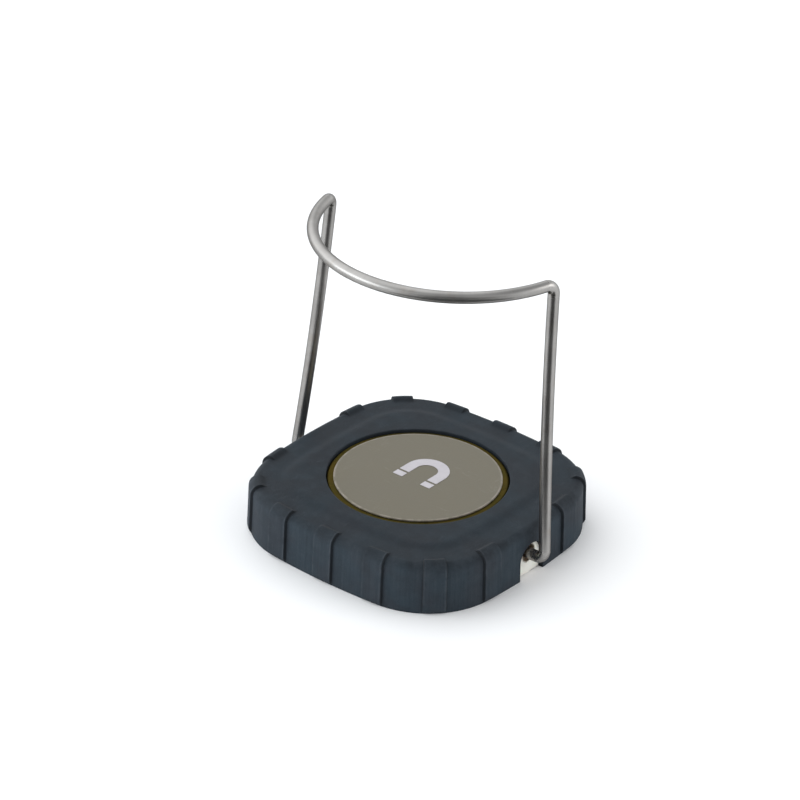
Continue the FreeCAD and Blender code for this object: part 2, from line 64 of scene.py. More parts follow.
MM = 0.001
BOOT_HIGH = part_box("rubber_boot")[1]
PLATE_LOW, PLATE_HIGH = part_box("face_plate")
WIRE_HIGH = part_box("wire_cradle")[1]
CLIP_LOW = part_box("pin_clip_right")[0]
PIVOT = Vector(frame["joints"][0]["pos_m"])

PROFILE_STEP = 0.55 * MM        # longest mesh step up the boot's wall and over its top
TOP_STRIP = 2.2 * MM            # flat strip of the top that still follows the outline
BEND_INSET, BEND_WIDTH = 1.2 * MM, 1.8 * MM   # where the boot's upper edge shows wear and a painted highlight, and how widely
SKIN_STEP = 3.0 * MM            # length given to one mesh step inside the boot
PAD_STEPS = (-2.2, -1.5, -0.8, -0.6, -0.4, -0.2, 0.0, 0.2, 0.4, 0.6, 0.8, 1.4, 2.0)   # in pad edges
WIRE_STEP = 3.0 * MM            # longest mesh step along a straight run of the wire
ARC_STEP = 2.0 * MM             # longest mesh step on an arc
TIGHT_BEND = 10.0 * MM          # an arc below this radius counts as bent, and is burnished
WIRE_TIP = ((0.0, 0.45), (0.0, 0.80), (0.06, 0.93), (0.20, 1.0))   # depth and radius, in wire radii
SOFT_EDGE = 0.7 * MM            # width over which the painted shade round a pin fades
FLOOR_DROP = 0.05 * MM          # floor below the working face, so that the two don't flicker
PAPER_TONE = 0.985              # darkest patches of the paper against its own colour
KEY_SIDE = (-0.72, 0.0, 0.69)   # direction of the tent's bright patch
FLAG_CORNERS = ((-0.11, 0.085), (0.11, 0.085), (0.6, 1.3), (-0.6, 1.3))   # its corners: right, outward
FLAG_LIFT = 0.2 * MM            # height of the black cloth over the floor


# ---------------------------------------------------------------- settings

def length(name, description, default):
    return bpy.props.FloatProperty(name=name, description=description, default=default,
                                   unit="LENGTH", subtype="DISTANCE", precision=5)


def angle(name, description, default):
    return bpy.props.FloatProperty(name=name, description=description, default=math.radians(default),
                                   unit="ROTATION", subtype="ANGLE", precision=4)


def share(name, description, default):
    return bpy.props.FloatProperty(name=name, description=description, default=default,
                                   subtype="FACTOR", precision=3)


def colour(name, description, default):
    return bpy.props.FloatVectorProperty(name=name, description=description, default=default,
                                         subtype="COLOR", size=3, min=0.0, max=1.0)


class BootSizes(bpy.types.PropertyGroup):
    """Sizes of the rubber boot."""
    pad_proud: length("Pad height", "How far a grip pad stands out of the boot", 1.0 * MM)
    pad_width: length("Pad width", "Width of a grip pad", 8.0 * MM)
    pad_pitch: length("Pad pitch", "Spacing of the pads along a side", 20.8 * MM)
    pad_reach: length("Pad reach", "How far a pad wraps in over the top", 4.6 * MM)
    pad_chamfer: length("Pad chamfer", "Height of the chamfer at a pad's foot", 1.5 * MM)
    pad_edge: length("Pad edge", "Width of the step beside a pad", 0.42 * MM)
    pad_end: length("Pad end", "Length over which a pad's inner end fades out", 2.2 * MM)
    side_radius: length("Side radius", "Radius of each bowed side in plan", 250.0 * MM)
    corner_radius: length("Corner radius", "Radius of each corner in plan", 29.0 * MM)
    ridge_inset: length("Ridge inset", "Distance from the outline to the flat top", 13.6 * MM)
    step_width: length("Step width", "Width of the soft step round the flat top", 3.2 * MM)
    step_fall: length("Step fall", "Height of that step", 0.75 * MM)
    rim_fall: length("Rim fall", "Flat top above the outer edge of the rim", 0.9 * MM)
    draft: length("Draft", "How far the wall leans in on its way up", 0.6 * MM)
    edge_round: length("Edge round", "Radius between wall and rim", 3.0 * MM)
    step_round: length("Step round", "Radii at the foot and the top of the step", 10.0 * MM)
    recess: length("Face recess", "Face plate below the flat top", 0.3 * MM)
    cup_shoulder: length("Cup shoulder", "Cup beyond the face plate", 2.3 * MM)
    window_gap: length("Window gap", "Gap between the cup and the window", 0.2 * MM)
    window_round: length("Window round", "Radius of the window's upper edge", 0.35 * MM)
    wall: length("Wall", "Thickness of the side wall", 3.0 * MM)
    roof: length("Roof", "Thickness of the flat top", 4.0 * MM)
    lip_height: length("Lip height", "Thickness of the inward lip", 1.2 * MM)
    lip_width: length("Lip width", "How far the lip reaches in", 2.0 * MM)
    notch_half: length("Notch half width", "Half width of the arched notch", 6.2 * MM)
    notch_rise: length("Notch rise", "Top of the notch above the pin", 4.4 * MM)
    step: length("Mesh step", "Longest mesh step along the outline", 1.0 * MM)


class PlateSizes(bpy.types.PropertyGroup):
    """Sizes of the round face plate."""
    rim_round: length("Rim round", "Radius of the plate's upper edge", 0.3 * MM)


class CradleSizes(bpy.types.PropertyGroup):
    """Sizes of the bent wire."""
    wire: length("Wire radius", "Half of the wire's diameter", 2.0 * MM)
    leg: length("Leg length", "Pin to top corner", 98.8 * MM)
    lean: length("Leg lean", "How far a leg leans in over its length", 7.7 * MM)
    bow: length("Leg bow", "How far the middle of a leg is pulled in", 1.5 * MM)
    bend: length("Bend radius", "Centre line radius of the sharp bends", 3.2 * MM)
    pin_stub: length("Pin stub", "Pin beyond its clip", 1.0 * MM)
    toe_in: angle("Loop toe-in", "How far the loop's ends turn in", 15.0)
    dip: angle("Loop dip", "How far the loop dips below square", 4.5)
    tilt: angle("Rest tilt", "How far the legs lean back at rest", 4.5)
    arc_steps: bpy.props.IntProperty(name="Arc steps", default=40, min=4,
                                     description="Mesh steps in a quarter turn of the wire")
    round_steps: bpy.props.IntProperty(name="Round steps", description="Mesh steps round the wire",
                                       default=56, min=8)
    relief: length("Pin relief", "Clear ring round the pin in a block's outer face", 1.1 * MM)


class Finishes(bpy.types.PropertyGroup):
    """Base colours of the finishes."""
    rubber: colour("Rubber", "Moulded boot", (0.030, 0.037, 0.046))
    rubber_cool: colour("Rubber, cool", "Bluish patches of the boot", (0.030, 0.043, 0.055))
    # Dark rubber: random dark mottling, and the painted shade beside the pads, at their inner ends and down
    # the window.
    rubber_dark_and_shade: colour("Rubber, cavities", "Corners beside the pads", (0.008, 0.009, 0.010))
    # Lighter rubber: random light mottling, scuffs, edges lighter from wear, and the painted highlight
    # along the pads' sides and the upper edges.
    rubber_worn_and_lit: colour("Rubber, edges", "Rubbed edges of the boot", (0.056, 0.067, 0.079))
    enamel: colour("Enamel", "Satin enamel of the face plate", (0.112, 0.098, 0.064))
    # Pale enamel: scratches, and the thin rim that is also a painted highlight.
    enamel_edge_and_highlight: colour("Enamel, rim", "Thin enamel on the plate's rim", (0.230, 0.200, 0.165))
    ink: colour("Ink", "Printed mark", (0.48, 0.453, 0.478))
    passivate: colour("Yellow zinc", "Passivated cup, gold patches", (0.050, 0.037, 0.008))
    passivate_green: colour("Yellow zinc, green", "Passivated cup, olive patches", (0.036, 0.031, 0.007))
    wire: colour("Wire", "Drawn stainless wire", (0.33, 0.32, 0.308))
    zinc: colour("Zinc", "Bright zinc on pressed plate", (0.50, 0.51, 0.53))
    pole: colour("Pole", "Ground steel pole face", (0.42, 0.42, 0.43))
    screw: colour("Screw", "Zinc-plated screws", (0.42, 0.42, 0.44))
    brass: colour("Brass", "Spacer and washers", (0.58, 0.43, 0.17))
    spring: colour("Spring steel", "Blued push-on clips", (0.10, 0.11, 0.16))
    ferrite: colour("Ferrite", "Sintered magnet ring", (0.030, 0.030, 0.033))
    resin: colour("Resin", "Casting resin under the magnet", (0.018, 0.019, 0.021))
    nylon: colour("Nylon", "Natural nylon of the pivot blocks", (0.90, 0.86, 0.78))
    # Dark brown round the pins: painted shade of the recess that holds each pin.
    nylon_pin_shade: colour("Nylon, stained", "Grease round the pins", (0.16, 0.115, 0.07))


class StageSettings(bpy.types.PropertyGroup):
    """Camera, lights and floor."""
    azimuth: angle("Azimuth", "Camera's direction round the object", 38.665)
    elevation: angle("Elevation", "Camera's height above the horizon", 29.589)
    roll: angle("Roll", "Camera's turn about its own axis", 1.691)
    distance: length("Distance", "Camera's distance", 1.2006)
    side: length("Side offset", "Camera's offset to the right", -6.95 * MM)
    rise: length("Rise offset", "Camera's offset upward", 41.98 * MM)
    lens: bpy.props.FloatProperty(name="Lens", description="Focal length in millimetres", default=156.99)
    sensor: bpy.props.FloatProperty(name="Sensor", description="Sensor width in millimetres", default=36.0)
    floor: colour("Floor", "Pale paper sweep", (0.95, 0.95, 0.95))
    floor_size: length("Floor size", "Side of the square floor", 14.0)
    sky: colour("Sky", "Colour of the room's light", (0.96, 0.98, 1.0))
    side_strength: share("Side strength", "Brightness of the light tent's walls", 1.45)
    top_strength: share("Top strength", "Brightness of the light tent's roof", 0.62)
    key_strength: share("Key strength", "Brightness that the tent gains high on the left", 1.15)
    front_strength: share("Front strength", "Brightness of the tent's open front", 0.18)
    left_power: bpy.props.FloatProperty(name="Left softbox", description="Power in watts", default=3.5)
    right_power: bpy.props.FloatProperty(name="Right softbox", description="Power in watts", default=2.0)


class HolderSettings(bpy.types.PropertyGroup):
    """Everything that can be set on the torch rest."""
    boot: bpy.props.PointerProperty(type=BootSizes)
    plate: bpy.props.PointerProperty(type=PlateSizes)
    cradle: bpy.props.PointerProperty(type=CradleSizes)
    finish: bpy.props.PointerProperty(type=Finishes)
    stage: bpy.props.PointerProperty(type=StageSettings)


# ---------------------------------------------------------------- shader maths

class Field:
    """An output socket.  Arithmetic on a value adds Math nodes, and on a vector Vector Math nodes."""

    def __init__(self, tree, socket):
        self.tree, self.socket = tree, socket

    def maths(self, operation, *terms):
        kind = "ShaderNodeVectorMath" if self.socket.type == "VECTOR" else "ShaderNodeMath"
        if kind == "ShaderNodeVectorMath":
            terms = [term if isinstance(term, (Field, tuple)) else (term,) * 3 for term in terms]
        return self.tree.node(kind, {"operation": operation}, dict(enumerate(terms)))

    def __add__(self, other): return self.maths("ADD", self, other)
    def __sub__(self, other): return self.maths("SUBTRACT", self, other)
    def __rsub__(self, other): return self.maths("SUBTRACT", other, self)
    def __mul__(self, other): return self.maths("MULTIPLY", self, other)
    def __truediv__(self, other): return self.maths("DIVIDE", self, other)
    __radd__, __rmul__ = __add__, __mul__

    def at_least(self, other): return self.maths("MAXIMUM", self, other)
    def size(self): return self.maths("ABSOLUTE", self)

    def reach(self):
        """Length of a vector."""
        return self.tree.node("ShaderNodeVectorMath", {"operation": "LENGTH"}, {0: self}, output=1)

    def along(self, direction):
        """How far a vector goes in a direction."""
        return self.tree.node("ShaderNodeVectorMath", {"operation": "DOT_PRODUCT"},
                              {0: self, 1: direction}, output=1)

    def between(self, low, high):
        """0 below low, 1 above high, smooth in between; high may be the lower of the two."""
        flip = high < low
        low, high = min(low, high), max(low, high)
        ramp = self.tree.node("ShaderNodeMapRange", {"interpolation_type": "SMOOTHSTEP"},
                              {"Value": self, "From Min": low, "From Max": high})
        return 1 - ramp if flip else ramp

    def blend(self, first, second):
        """first where this value is 0, second where it is 1."""
        return self.tree.node("ShaderNodeMix", {"data_type": "RGBA"},
                              {0: self, 6: opaque(first), 7: opaque(second)}, output=2)


def opaque(value):
    """A colour with full alpha; a Field passes unchanged."""
    return value if isinstance(value, Field) else tuple(value) + (1.0,)


def times(tint, amount):
    """A colour made darker or lighter."""
    return [part * amount for part in tint]


class Nodes:
    """An emptied node tree, and the ways to fill it."""

    def __init__(self, tree):
        self.nodes, self.links = tree.nodes, tree.links
        self.nodes.clear()

    def node(self, kind, settings=None, sockets=None, output=0):
        """Any node: its settings first, then the values or links of its sockets."""
        node = self.nodes.new(kind)
        for name, value in (settings or {}).items():
            setattr(node, name, value)
        for name, value in (sockets or {}).items():
            if isinstance(value, Field):
                self.links.new(value.socket, node.inputs[name])
            else:
                node.inputs[name].default_value = value
        return Field(self, node.outputs[output]) if len(node.outputs) else None

    def place(self, output=3):
        """Position on the object, in metres; output 0 of a world is the outward direction."""
        return self.node("ShaderNodeTexCoord", output=output)

    def skin(self, name="skin"):
        """Position along and across a formed surface, in metres."""
        return self.node("ShaderNodeUVMap", {"uv_map": name})

    def attribute(self, name):
        """A value kept on the mesh."""
        return self.node("ShaderNodeAttribute", {"attribute_name": name}, output=2)

    def part(self, vector, axis):
        """One component of a vector."""
        return self.node("ShaderNodeSeparateXYZ", sockets={"Vector": vector}, output="XYZ".index(axis))

    def noise(self, place, grain, detail=3.0, roughness=0.5, stretch=(1, 1, 1), seed=0.0):
        """Soft noise from 0 to 1 with patches about a grain wide, in metres."""
        where = place * tuple(s / grain for s in stretch) + (seed, seed, seed)
        return self.node("ShaderNodeTexNoise", sockets={"Vector": where, "Scale": 1.0, "Detail": detail,
                                                        "Roughness": roughness})

    def cells(self, place, grain):
        """Distance field of scattered cells, about a grain wide."""
        where = place * ((1 / grain,) * 3)
        return self.node("ShaderNodeTexVoronoi", {"feature": "F1"}, {"Vector": where, "Scale": 1.0})

    def bump(self, height, depth):
        """Normal of a surface whose height runs over a depth, in metres."""
        return self.node("ShaderNodeBump", sockets={"Height": height, "Distance": depth, "Strength": 1.0})


class Finish(Nodes):
    """A material and its node tree."""

    def __init__(self, name):
        self.material = bpy.data.materials.new(name)
        self.material.use_nodes = True
        super().__init__(self.material.node_tree)

    def finish(self, **sockets):
        """Joins the shader to the output; base_color= sets the socket Base Color, and so on."""
        sockets["base_color"] = opaque(sockets["base_color"])
        shader = self.node("ShaderNodeBsdfPrincipled", sockets={
            name.replace("_", " ").title().replace("Ior", "IOR"): value for name, value in sockets.items()})
        self.node("ShaderNodeOutputMaterial", sockets={"Surface": shader})
        return self.material


# ---------------------------------------------------------------- finishes

def grazes(finish, place, grain, threshold, stretch, seed):
    """Sparse thin scratches, 1 on a scratch."""
    line = finish.noise(place, grain, 2.0, 0.4, stretch, seed)
    patch = finish.noise(place, 9 * MM, 1.0, 0.5, (1, 1, 1), seed + 3.0)
    return (1 - (line - 0.5).size() / threshold).at_least(0.0) * patch.between(0.52, 0.66)


def rubber_finish(colours):
    """Matte moulded rubber: mottled, streaked up its walls, lighter from wear on its edges, with painted
    shade beside the pads, at their inner ends and down the window, the top painted darker than the walls as
    painted shade, and a painted highlight along the pads' sides and the upper edges.
    """
    f = Finish("boot_rubber")
    place, skin = f.place(), f.skin()
    painted_shade, wear_and_highlight, wall = f.attribute("painted_shade"), f.attribute("wear_and_highlight"), f.attribute("wall")
    mottle = f.noise(place, 16 * MM, 3.0, 0.55, seed=4.0)
    cloud = f.noise(place, 5 * MM, 4.0, 0.6, seed=9.0)
    speck = f.noise(place, 0.35 * MM, 2.0, 0.6, seed=2.0)
    streak = f.noise(skin, 0.9 * MM, 3.0, 0.6, (1, 0.03, 1), 5.0)
    patch = mottle.between(0.35, 0.65)
    # The top, where wall is 0, gets 0.6 of the walls' colour: painted shade that makes the top darker than
    # the walls.
    base = wall.blend(patch.blend(times(colours.rubber, 0.60), times(colours.rubber_cool, 0.60)),
                      patch.blend(colours.rubber, colours.rubber_cool))
    bloom = (cloud - 0.5) * 0.34 + (speck - 0.5) * 0.30 + (streak - 0.5) * wall * 0.36
    light = bloom.between(-0.05, 0.28) * 0.55
    dark = bloom.between(0.05, -0.28) * 0.45
    base = light.blend(base, colours.rubber_worn_and_lit)
    base = dark.blend(base, colours.rubber_dark_and_shade)
    # Edges lighter from wear, partly a painted highlight along the pads' sides and the upper edges.
    rub_and_highlight = wear_and_highlight * cloud.between(0.30, 0.70)
    base = (rub_and_highlight * 0.75).blend(base, colours.rubber_worn_and_lit)
    # Painted shade beside the pads, at their inner ends and down the window.
    base = (painted_shade * 0.65).blend(base, colours.rubber_dark_and_shade)
    scuff = grazes(f, place, 2.2 * MM, 0.018, (1, 0.16, 1), 7.0)
    base = (scuff * 0.16).blend(base, colours.rubber_worn_and_lit)
    grain = f.noise(place, 0.22 * MM, 2.0, 0.6, seed=1.0)
    height = grain * 0.45 + speck * 0.35 + streak * wall * 0.7 + scuff * -0.4 + cloud * 0.8
    rough = 0.66 + cloud * 0.16 + (speck - 0.5) * 0.10 - rub_and_highlight * 0.10
    return f.finish(base_color=base, roughness=rough, normal=f.bump(height, 0.09 * MM),
                    specular_ior_level=0.14)


def enamel_finish(colours, rim):
    """Satin beige enamel: fine orange peel, thin and pale on the rim as wear and as a painted highlight, a
    few hairline scratches.
    """
    f = Finish("face_enamel")
    place = f.place()
    out = (place * (1.0, 1.0, 0.0)).reach()
    tone = f.noise(place, 11 * MM, 3.0, 0.5, seed=3.0)
    speck = f.noise(place, 0.45 * MM, 3.0, 0.65, seed=6.0)
    peel = f.noise(place, 1.1 * MM, 2.0, 0.5, seed=8.0)
    scratch = grazes(f, place, 1.6 * MM, 0.010, (0.10, 1, 1), 2.0).at_least(
        grazes(f, place, 1.9 * MM, 0.009, (1, 0.12, 1), 11.0))
    # Paler rim: thin enamel and a painted highlight on the rounded edge.
    wear_and_highlight = out.between(rim - 1.0 * MM, rim - 0.25 * MM)
    patchy = wear_and_highlight * f.noise(place, 3.0 * MM, 3.0, 0.6, seed=12.0).between(0.25, 0.6)
    base = ((tone - 0.5) * 0.5 + (speck - 0.5) * 0.35 + 0.3).between(-0.1, 0.9).blend(
        times(colours.enamel, 0.90), times(colours.enamel, 1.12))
    base = (patchy * 0.85).blend(base, colours.enamel_edge_and_highlight)
    base = (scratch * 0.15).blend(base, colours.enamel_edge_and_highlight)
    rough = 0.40 + tone * 0.10 + speck * 0.06 - scratch * 0.10
    return f.finish(base_color=base, metallic=0.25, roughness=rough,
                    normal=f.bump(peel * 0.7 + speck * 0.25 - scratch * 0.15, 0.035 * MM),
                    specular_ior_level=0.5)


def ink_finish(colours):
    """Pale satin ink, a little uneven where the pad left it thin."""
    f = Finish("mark_ink")
    place = f.place()
    thin = f.noise(place, 0.9 * MM, 3.0, 0.6, seed=2.0)
    tone = f.noise(place, 4.0 * MM, 2.0, 0.5, seed=5.0)
    base = (tone * 0.5 + thin * 0.5).between(0.25, 0.75).blend(times(colours.ink, 0.88), colours.ink)
    return f.finish(base_color=base, roughness=0.46 + thin * 0.12, normal=f.bump(thin, 0.02 * MM))


def passivated_finish(colours):
    """Yellow passivated zinc: gold and olive patches that drift into each other over turned steel."""
    f = Finish("yellow_zinc")
    place = f.place()
    out = (place * (1.0, 1.0, 0.0)).reach()
    drift = f.noise(place, 9 * MM, 3.0, 0.6, seed=1.0)
    cloud = f.noise(place, 2.2 * MM, 4.0, 0.6, seed=4.0)
    turned = f.noise(f.node("ShaderNodeCombineXYZ", sockets={"X": out, "Y": f.part(place, "Z")}),
                     0.25 * MM, 2.0, 0.6)
    base = (drift * 0.7 + cloud * 0.3).between(0.38, 0.62).blend(colours.passivate_green, colours.passivate)
    grime = f.noise(place, 1.3 * MM, 3.0, 0.7, seed=7.0).between(0.56, 0.72)
    base = (grime * 0.5).blend(base, times(colours.passivate_green, 0.35))
    return f.finish(base_color=base, metallic=0.80, roughness=0.40 + cloud * 0.14 + grime * 0.15,
                    normal=f.bump(turned * 0.7 + cloud * 0.5, 0.03 * MM), specular_ior_level=0.3,
                    specular_tint=opaque((0.70, 0.58, 0.25)))


def wire_finish(colours):
    """Satin drawn wire: grain along its length, burnished where it was bent, a few handling marks."""
    f = Finish("wire_stainless")
    skin, place = f.skin(), f.place()
    bent = f.attribute("bent")
    grain = f.noise(skin, 0.16 * MM, 3.0, 0.6, (0.02, 1, 1), 3.0)
    coarse = f.noise(skin, 0.55 * MM, 2.0, 0.5, (0.03, 1, 1), 8.0)
    tone = f.noise(place, 12 * MM, 3.0, 0.55, seed=6.0)
    nick = f.noise(skin, 0.5 * MM, 2.0, 0.5, (0.7, 0.5, 1), 9.0).between(0.70, 0.78)
    ripple = f.noise(skin, 0.7 * MM, 1.0, 0.5, (1, 0.1, 1), 4.0)
    tint = f.noise(place, 3.5 * MM, 2.0, 0.5, seed=2.0)
    base = (tone * 0.6 + grain * 0.4).between(0.30, 0.70).blend(times(colours.wire, 0.86),
                                                                times(colours.wire, 1.14))
    brown = [part * amount for part, amount in zip(colours.wire, (0.80, 0.70, 0.60))]
    base = (tint.between(0.55, 0.75) * 0.30).blend(base, brown)
    base = (bent * 0.20 * coarse.between(0.4, 0.6)).blend(base, times(colours.wire, 1.4))
    base = (nick * 0.5).blend(base, times(colours.wire, 0.5))
    rough = 0.27 + (grain - 0.5) * 0.12 + tone * 0.08 - bent * 0.04 + nick * 0.2
    height = grain * 0.5 + coarse * 0.8 + ripple * bent * 1.4 - nick * 1.0
    return f.finish(base_color=base, metallic=1.0, roughness=rough, normal=f.bump(height, 0.012 * MM),
                    specular_tint=opaque((0.28, 0.28, 0.28)))


def plated_finish(name, base_colour, grain_stretch):
    """Bright zinc on rolled or turned steel: rolling grain, faint spangle, dull patches."""
    f = Finish(name)
    place = f.place()
    grain = f.noise(place, 0.3 * MM, 3.0, 0.6, grain_stretch, 1.0)
    spangle = f.cells(place, 1.8 * MM)
    dull = f.noise(place, 7 * MM, 4.0, 0.6, seed=3.0)
    mix = (grain * 0.4 + spangle * 0.25 + dull * 0.45).between(0.3, 0.8)
    base = mix.blend(times(base_colour, 0.8), times(base_colour, 1.1))
    return f.finish(base_color=base, metallic=1.0, roughness=0.28 + dull * 0.2 + (grain - 0.5) * 0.1,
                    normal=f.bump(grain * 0.6 + spangle * 0.3, 0.01 * MM))


def ground_finish(name, base_colour, metallic=1.0, rough=0.26):
    """Face ground flat: fine parallel lines with an odd deeper one, stained here and there."""
    f = Finish(name)
    place = f.place()
    fine = f.noise(place, 0.14 * MM, 3.0, 0.7, (0.02, 1, 1), 2.0)
    deep = f.noise(place, 0.9 * MM, 2.0, 0.5, (0.02, 1, 1), 5.0).between(0.62, 0.75)
    stain = f.noise(place, 5 * MM, 4.0, 0.6, seed=8.0)
    base = (stain * 0.7 + fine * 0.3).between(0.3, 0.7).blend(times(base_colour, 0.72),
                                                              times(base_colour, 1.1))
    return f.finish(base_color=base, metallic=metallic, roughness=rough + stain * 0.18 + deep * 0.1,
                    normal=f.bump(fine * 0.6 - deep, 0.012 * MM))


def turned_finish(name, base_colour, rough=0.25, metallic=1.0):
    """Turned or blanked ring: fine tool lines round Z, tarnished in patches."""
    f = Finish(name)
    place = f.place()
    lines = f.noise(place, 0.2 * MM, 2.0, 0.6, (1, 1, 3), 6.0)
    tarnish = f.noise(place, 2.5 * MM, 4.0, 0.6, seed=4.0)
    base = tarnish.between(0.35, 0.7).blend(times(base_colour, 1.05), times(base_colour, 0.66))
    return f.finish(base_color=base, metallic=metallic, roughness=rough + tarnish * 0.2,
                    normal=f.bump(lines, 0.01 * MM))


def resin_finish(colours):
    """Black casting resin: glossy, slightly dimpled, with a few pinholes."""
    f = Finish("potting_resin")
    place = f.place()
    wave = f.noise(place, 4 * MM, 2.0, 0.5, seed=2.0)
    hole = f.cells(place, 2.6 * MM).between(0.10, 0.04)
    base = wave.between(0.3, 0.7).blend(colours.resin, times(colours.resin, 1.7))
    return f.finish(base_color=base, roughness=0.24 + wave * 0.2 + hole * 0.3,
                    normal=f.bump(wave - hole * 0.5, 0.12 * MM))


def nylon_finish(colours, pin_height, pin_shade_radius):
    """Natural nylon: waxy, faintly grained, painted dark brown round the pin as painted shade of its
    recess.
    """
    f = Finish("block_nylon")
    place = f.place()
    off_pin = ((place - (0.0, 0.0, pin_height)) * (0.0, 1.0, 1.0)).reach()
    cloud = f.noise(place, 1.4 * MM, 4.0, 0.6, seed=3.0)
    tone = f.noise(place, 5 * MM, 2.0, 0.5, seed=7.0)
    reach = off_pin + (cloud - 0.5) * (1.2 * MM)
    # Painted shade: dark brown inside the clear ring round the pin.
    stain = reach.between(pin_shade_radius + SOFT_EDGE, pin_shade_radius)
    base = tone.between(0.3, 0.7).blend(colours.nylon, times(colours.nylon, 0.93))
    base = (stain * 0.93).blend(base, colours.nylon_pin_shade)
    return f.finish(base_color=base, roughness=0.42 + cloud * 0.14 - stain * 0.12,
                    normal=f.bump(cloud, 0.05 * MM), subsurface_weight=0.08)


def paint(material, *nodes):
    """Gives CAD nodes a finish."""
    for node in nodes:
        slots = frame["nodes"][node].data.materials
        slots.clear()
        slots.append(material)


# ---------------------------------------------------------------- mesh helpers

def settings():
    return bpy.context.scene.magnet_holder


def smoothstep(value):
    """0 below 0, 1 above 1, smooth in between."""
    value = min(1.0, max(0.0, value))
    return value * value * (3 - 2 * value)


def bell(value, middle, width):
    """1 at the middle, falling off over a width."""
    return math.exp(-((value - middle) / width) ** 2)


def rounded_line(points, radii, turn_steps):
    """Straight runs through the points, each inner corner replaced by a tangent arc of its radius.
    Gives each place with 1 where it is on a tight bend and 0 where it isn't."""
    line = [(points[0], 0.0)]
    for before, corner, after, radius in zip(points, points[1:], points[2:], radii):
        inward, outward = (before - corner).normalized(), (after - corner).normalized()
        half = inward.angle(outward) / 2
        run, turn = radius / math.tan(half), math.pi - 2 * half
        middle = corner + (inward + outward).normalized() * (radius / math.sin(half))
        start = corner + inward * run - middle
        ahead = -inward
        steps = max(2, math.ceil(turn / (math.pi / 2) * turn_steps), math.ceil(radius * turn / ARC_STEP))
        for i in range(steps + 1):
            now = turn * i / steps
            place = middle + start * math.cos(now) + ahead * (radius * math.sin(now))
            line.append((place, 1.0 if radius < TIGHT_BEND else 0.0))
    line.append((points[-1], 0.0))
    return line


def make_piece(name, mesh, body, material, smooth=35.0):
    """Object of a mesh that rides on a body, shaded smooth up to an angle."""
    piece = bpy.data.objects.new(name, mesh)
    bpy.context.scene.collection.objects.link(piece)
    mesh.materials.clear()
    mesh.materials.append(material)
    mesh.polygons.foreach_set("use_smooth", [True] * len(mesh.polygons))
    mesh.set_sharp_from_angle(angle=math.radians(smooth))
    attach(piece, body)
    return piece


def grid_mesh(name, rows, closed_rows, skin, floats):
    """Mesh of rows of points that close on themselves; skin gives their UV, floats named values."""
    mesh = bpy.data.meshes.new(name)
    width, height = len(rows[0]), len(rows)
    faces = []
    for j in range(height if closed_rows else height - 1):
        above = (j + 1) % height
        for i in range(width):
            beside = (i + 1) % width
            faces.append((j * width + i, j * width + beside, above * width + beside, above * width + i))
    mesh.from_pydata([tuple(point) for row in rows for point in row], [], faces)
    layer = mesh.uv_layers.new(name="skin")
    wrap_u, wrap_v = skin["around"], skin["over"]
    for polygon, loops in zip(mesh.polygons, (polygon.loop_indices for polygon in mesh.polygons)):
        corners = [divmod(mesh.loops[loop].vertex_index, width) for loop in loops]
        past_u = max(c[1] for c in corners) - min(c[1] for c in corners) > 1
        past_v = max(c[0] for c in corners) - min(c[0] for c in corners) > 1
        for loop, (j, i) in zip(loops, corners):
            u = skin["u"][i] + (wrap_u if past_u and i == 0 else 0.0)
            v = skin["v"][j] + (wrap_v if past_v and j == 0 else 0.0)
            layer.data[loop].uv = (u, v)
    for label, values in floats.items():
        mesh.attributes.new(label, "FLOAT", "POINT").data.foreach_set("value", values)
    return mesh


# ---------------------------------------------------------------- rubber boot

class Outline:
    """Plan of the boot: four bowed sides and four round corners, all tangent.  A place on it is known by
    the centre and radius of its arc and by its outward angle, so moving it in only shortens the radius."""

    def __init__(self, half, side, corner):
        self.back, self.side, self.corner = side - half, side, corner
        reach = side - corner
        self.place = (math.sqrt(2 * reach ** 2 - self.back ** 2) - self.back) / 2
        self.half_angle = math.asin(self.place / reach)
        self.side_length = 2 * self.half_angle * side
        self.quarter = self.side_length + (math.pi / 2 - 2 * self.half_angle) * corner

    def arc(self, along):
        """Centre, radius and outward angle at a distance from the middle of the right side."""
        number, rest = divmod(along + self.side_length / 2, self.quarter)
        turn = number * math.pi / 2
        if rest <= self.side_length:
            centre = Vector((-self.back * math.cos(turn), -self.back * math.sin(turn)))
            return centre, self.side, turn - self.half_angle + rest / self.side
        far, diagonal = self.place * math.sqrt(2), turn + math.pi / 4
        centre = Vector((far * math.cos(diagonal), far * math.sin(diagonal)))
        return centre, self.corner, turn + self.half_angle + (rest - self.side_length) / self.corner

    def pads(self, pitch):
        """Middles of the pads: one a corner, three on the front and back, two on the notched sides."""
        for number in range(4):
            for offset in (-pitch, pitch, self.quarter / 2) + ((0.0,) if number % 2 else ()):
                yield (number * self.quarter + offset) % (4 * self.quarter)


def fine_steps(total, step, middles, half, edge):
    """Distances along a closed line of a total length, fine beside each middle +- half."""
    places = [i * total / round(total / step) for i in range(round(total / step))]
    for middle in middles:
        for side in (-1, 1):
            places += [(middle + side * (half + edge * k)) % total for k in PAD_STEPS]
    places.sort()
    kept = places[:1]
    for place in places[1:]:
        if place - kept[-1] > edge * 0.12:
            kept.append(place)
    return kept


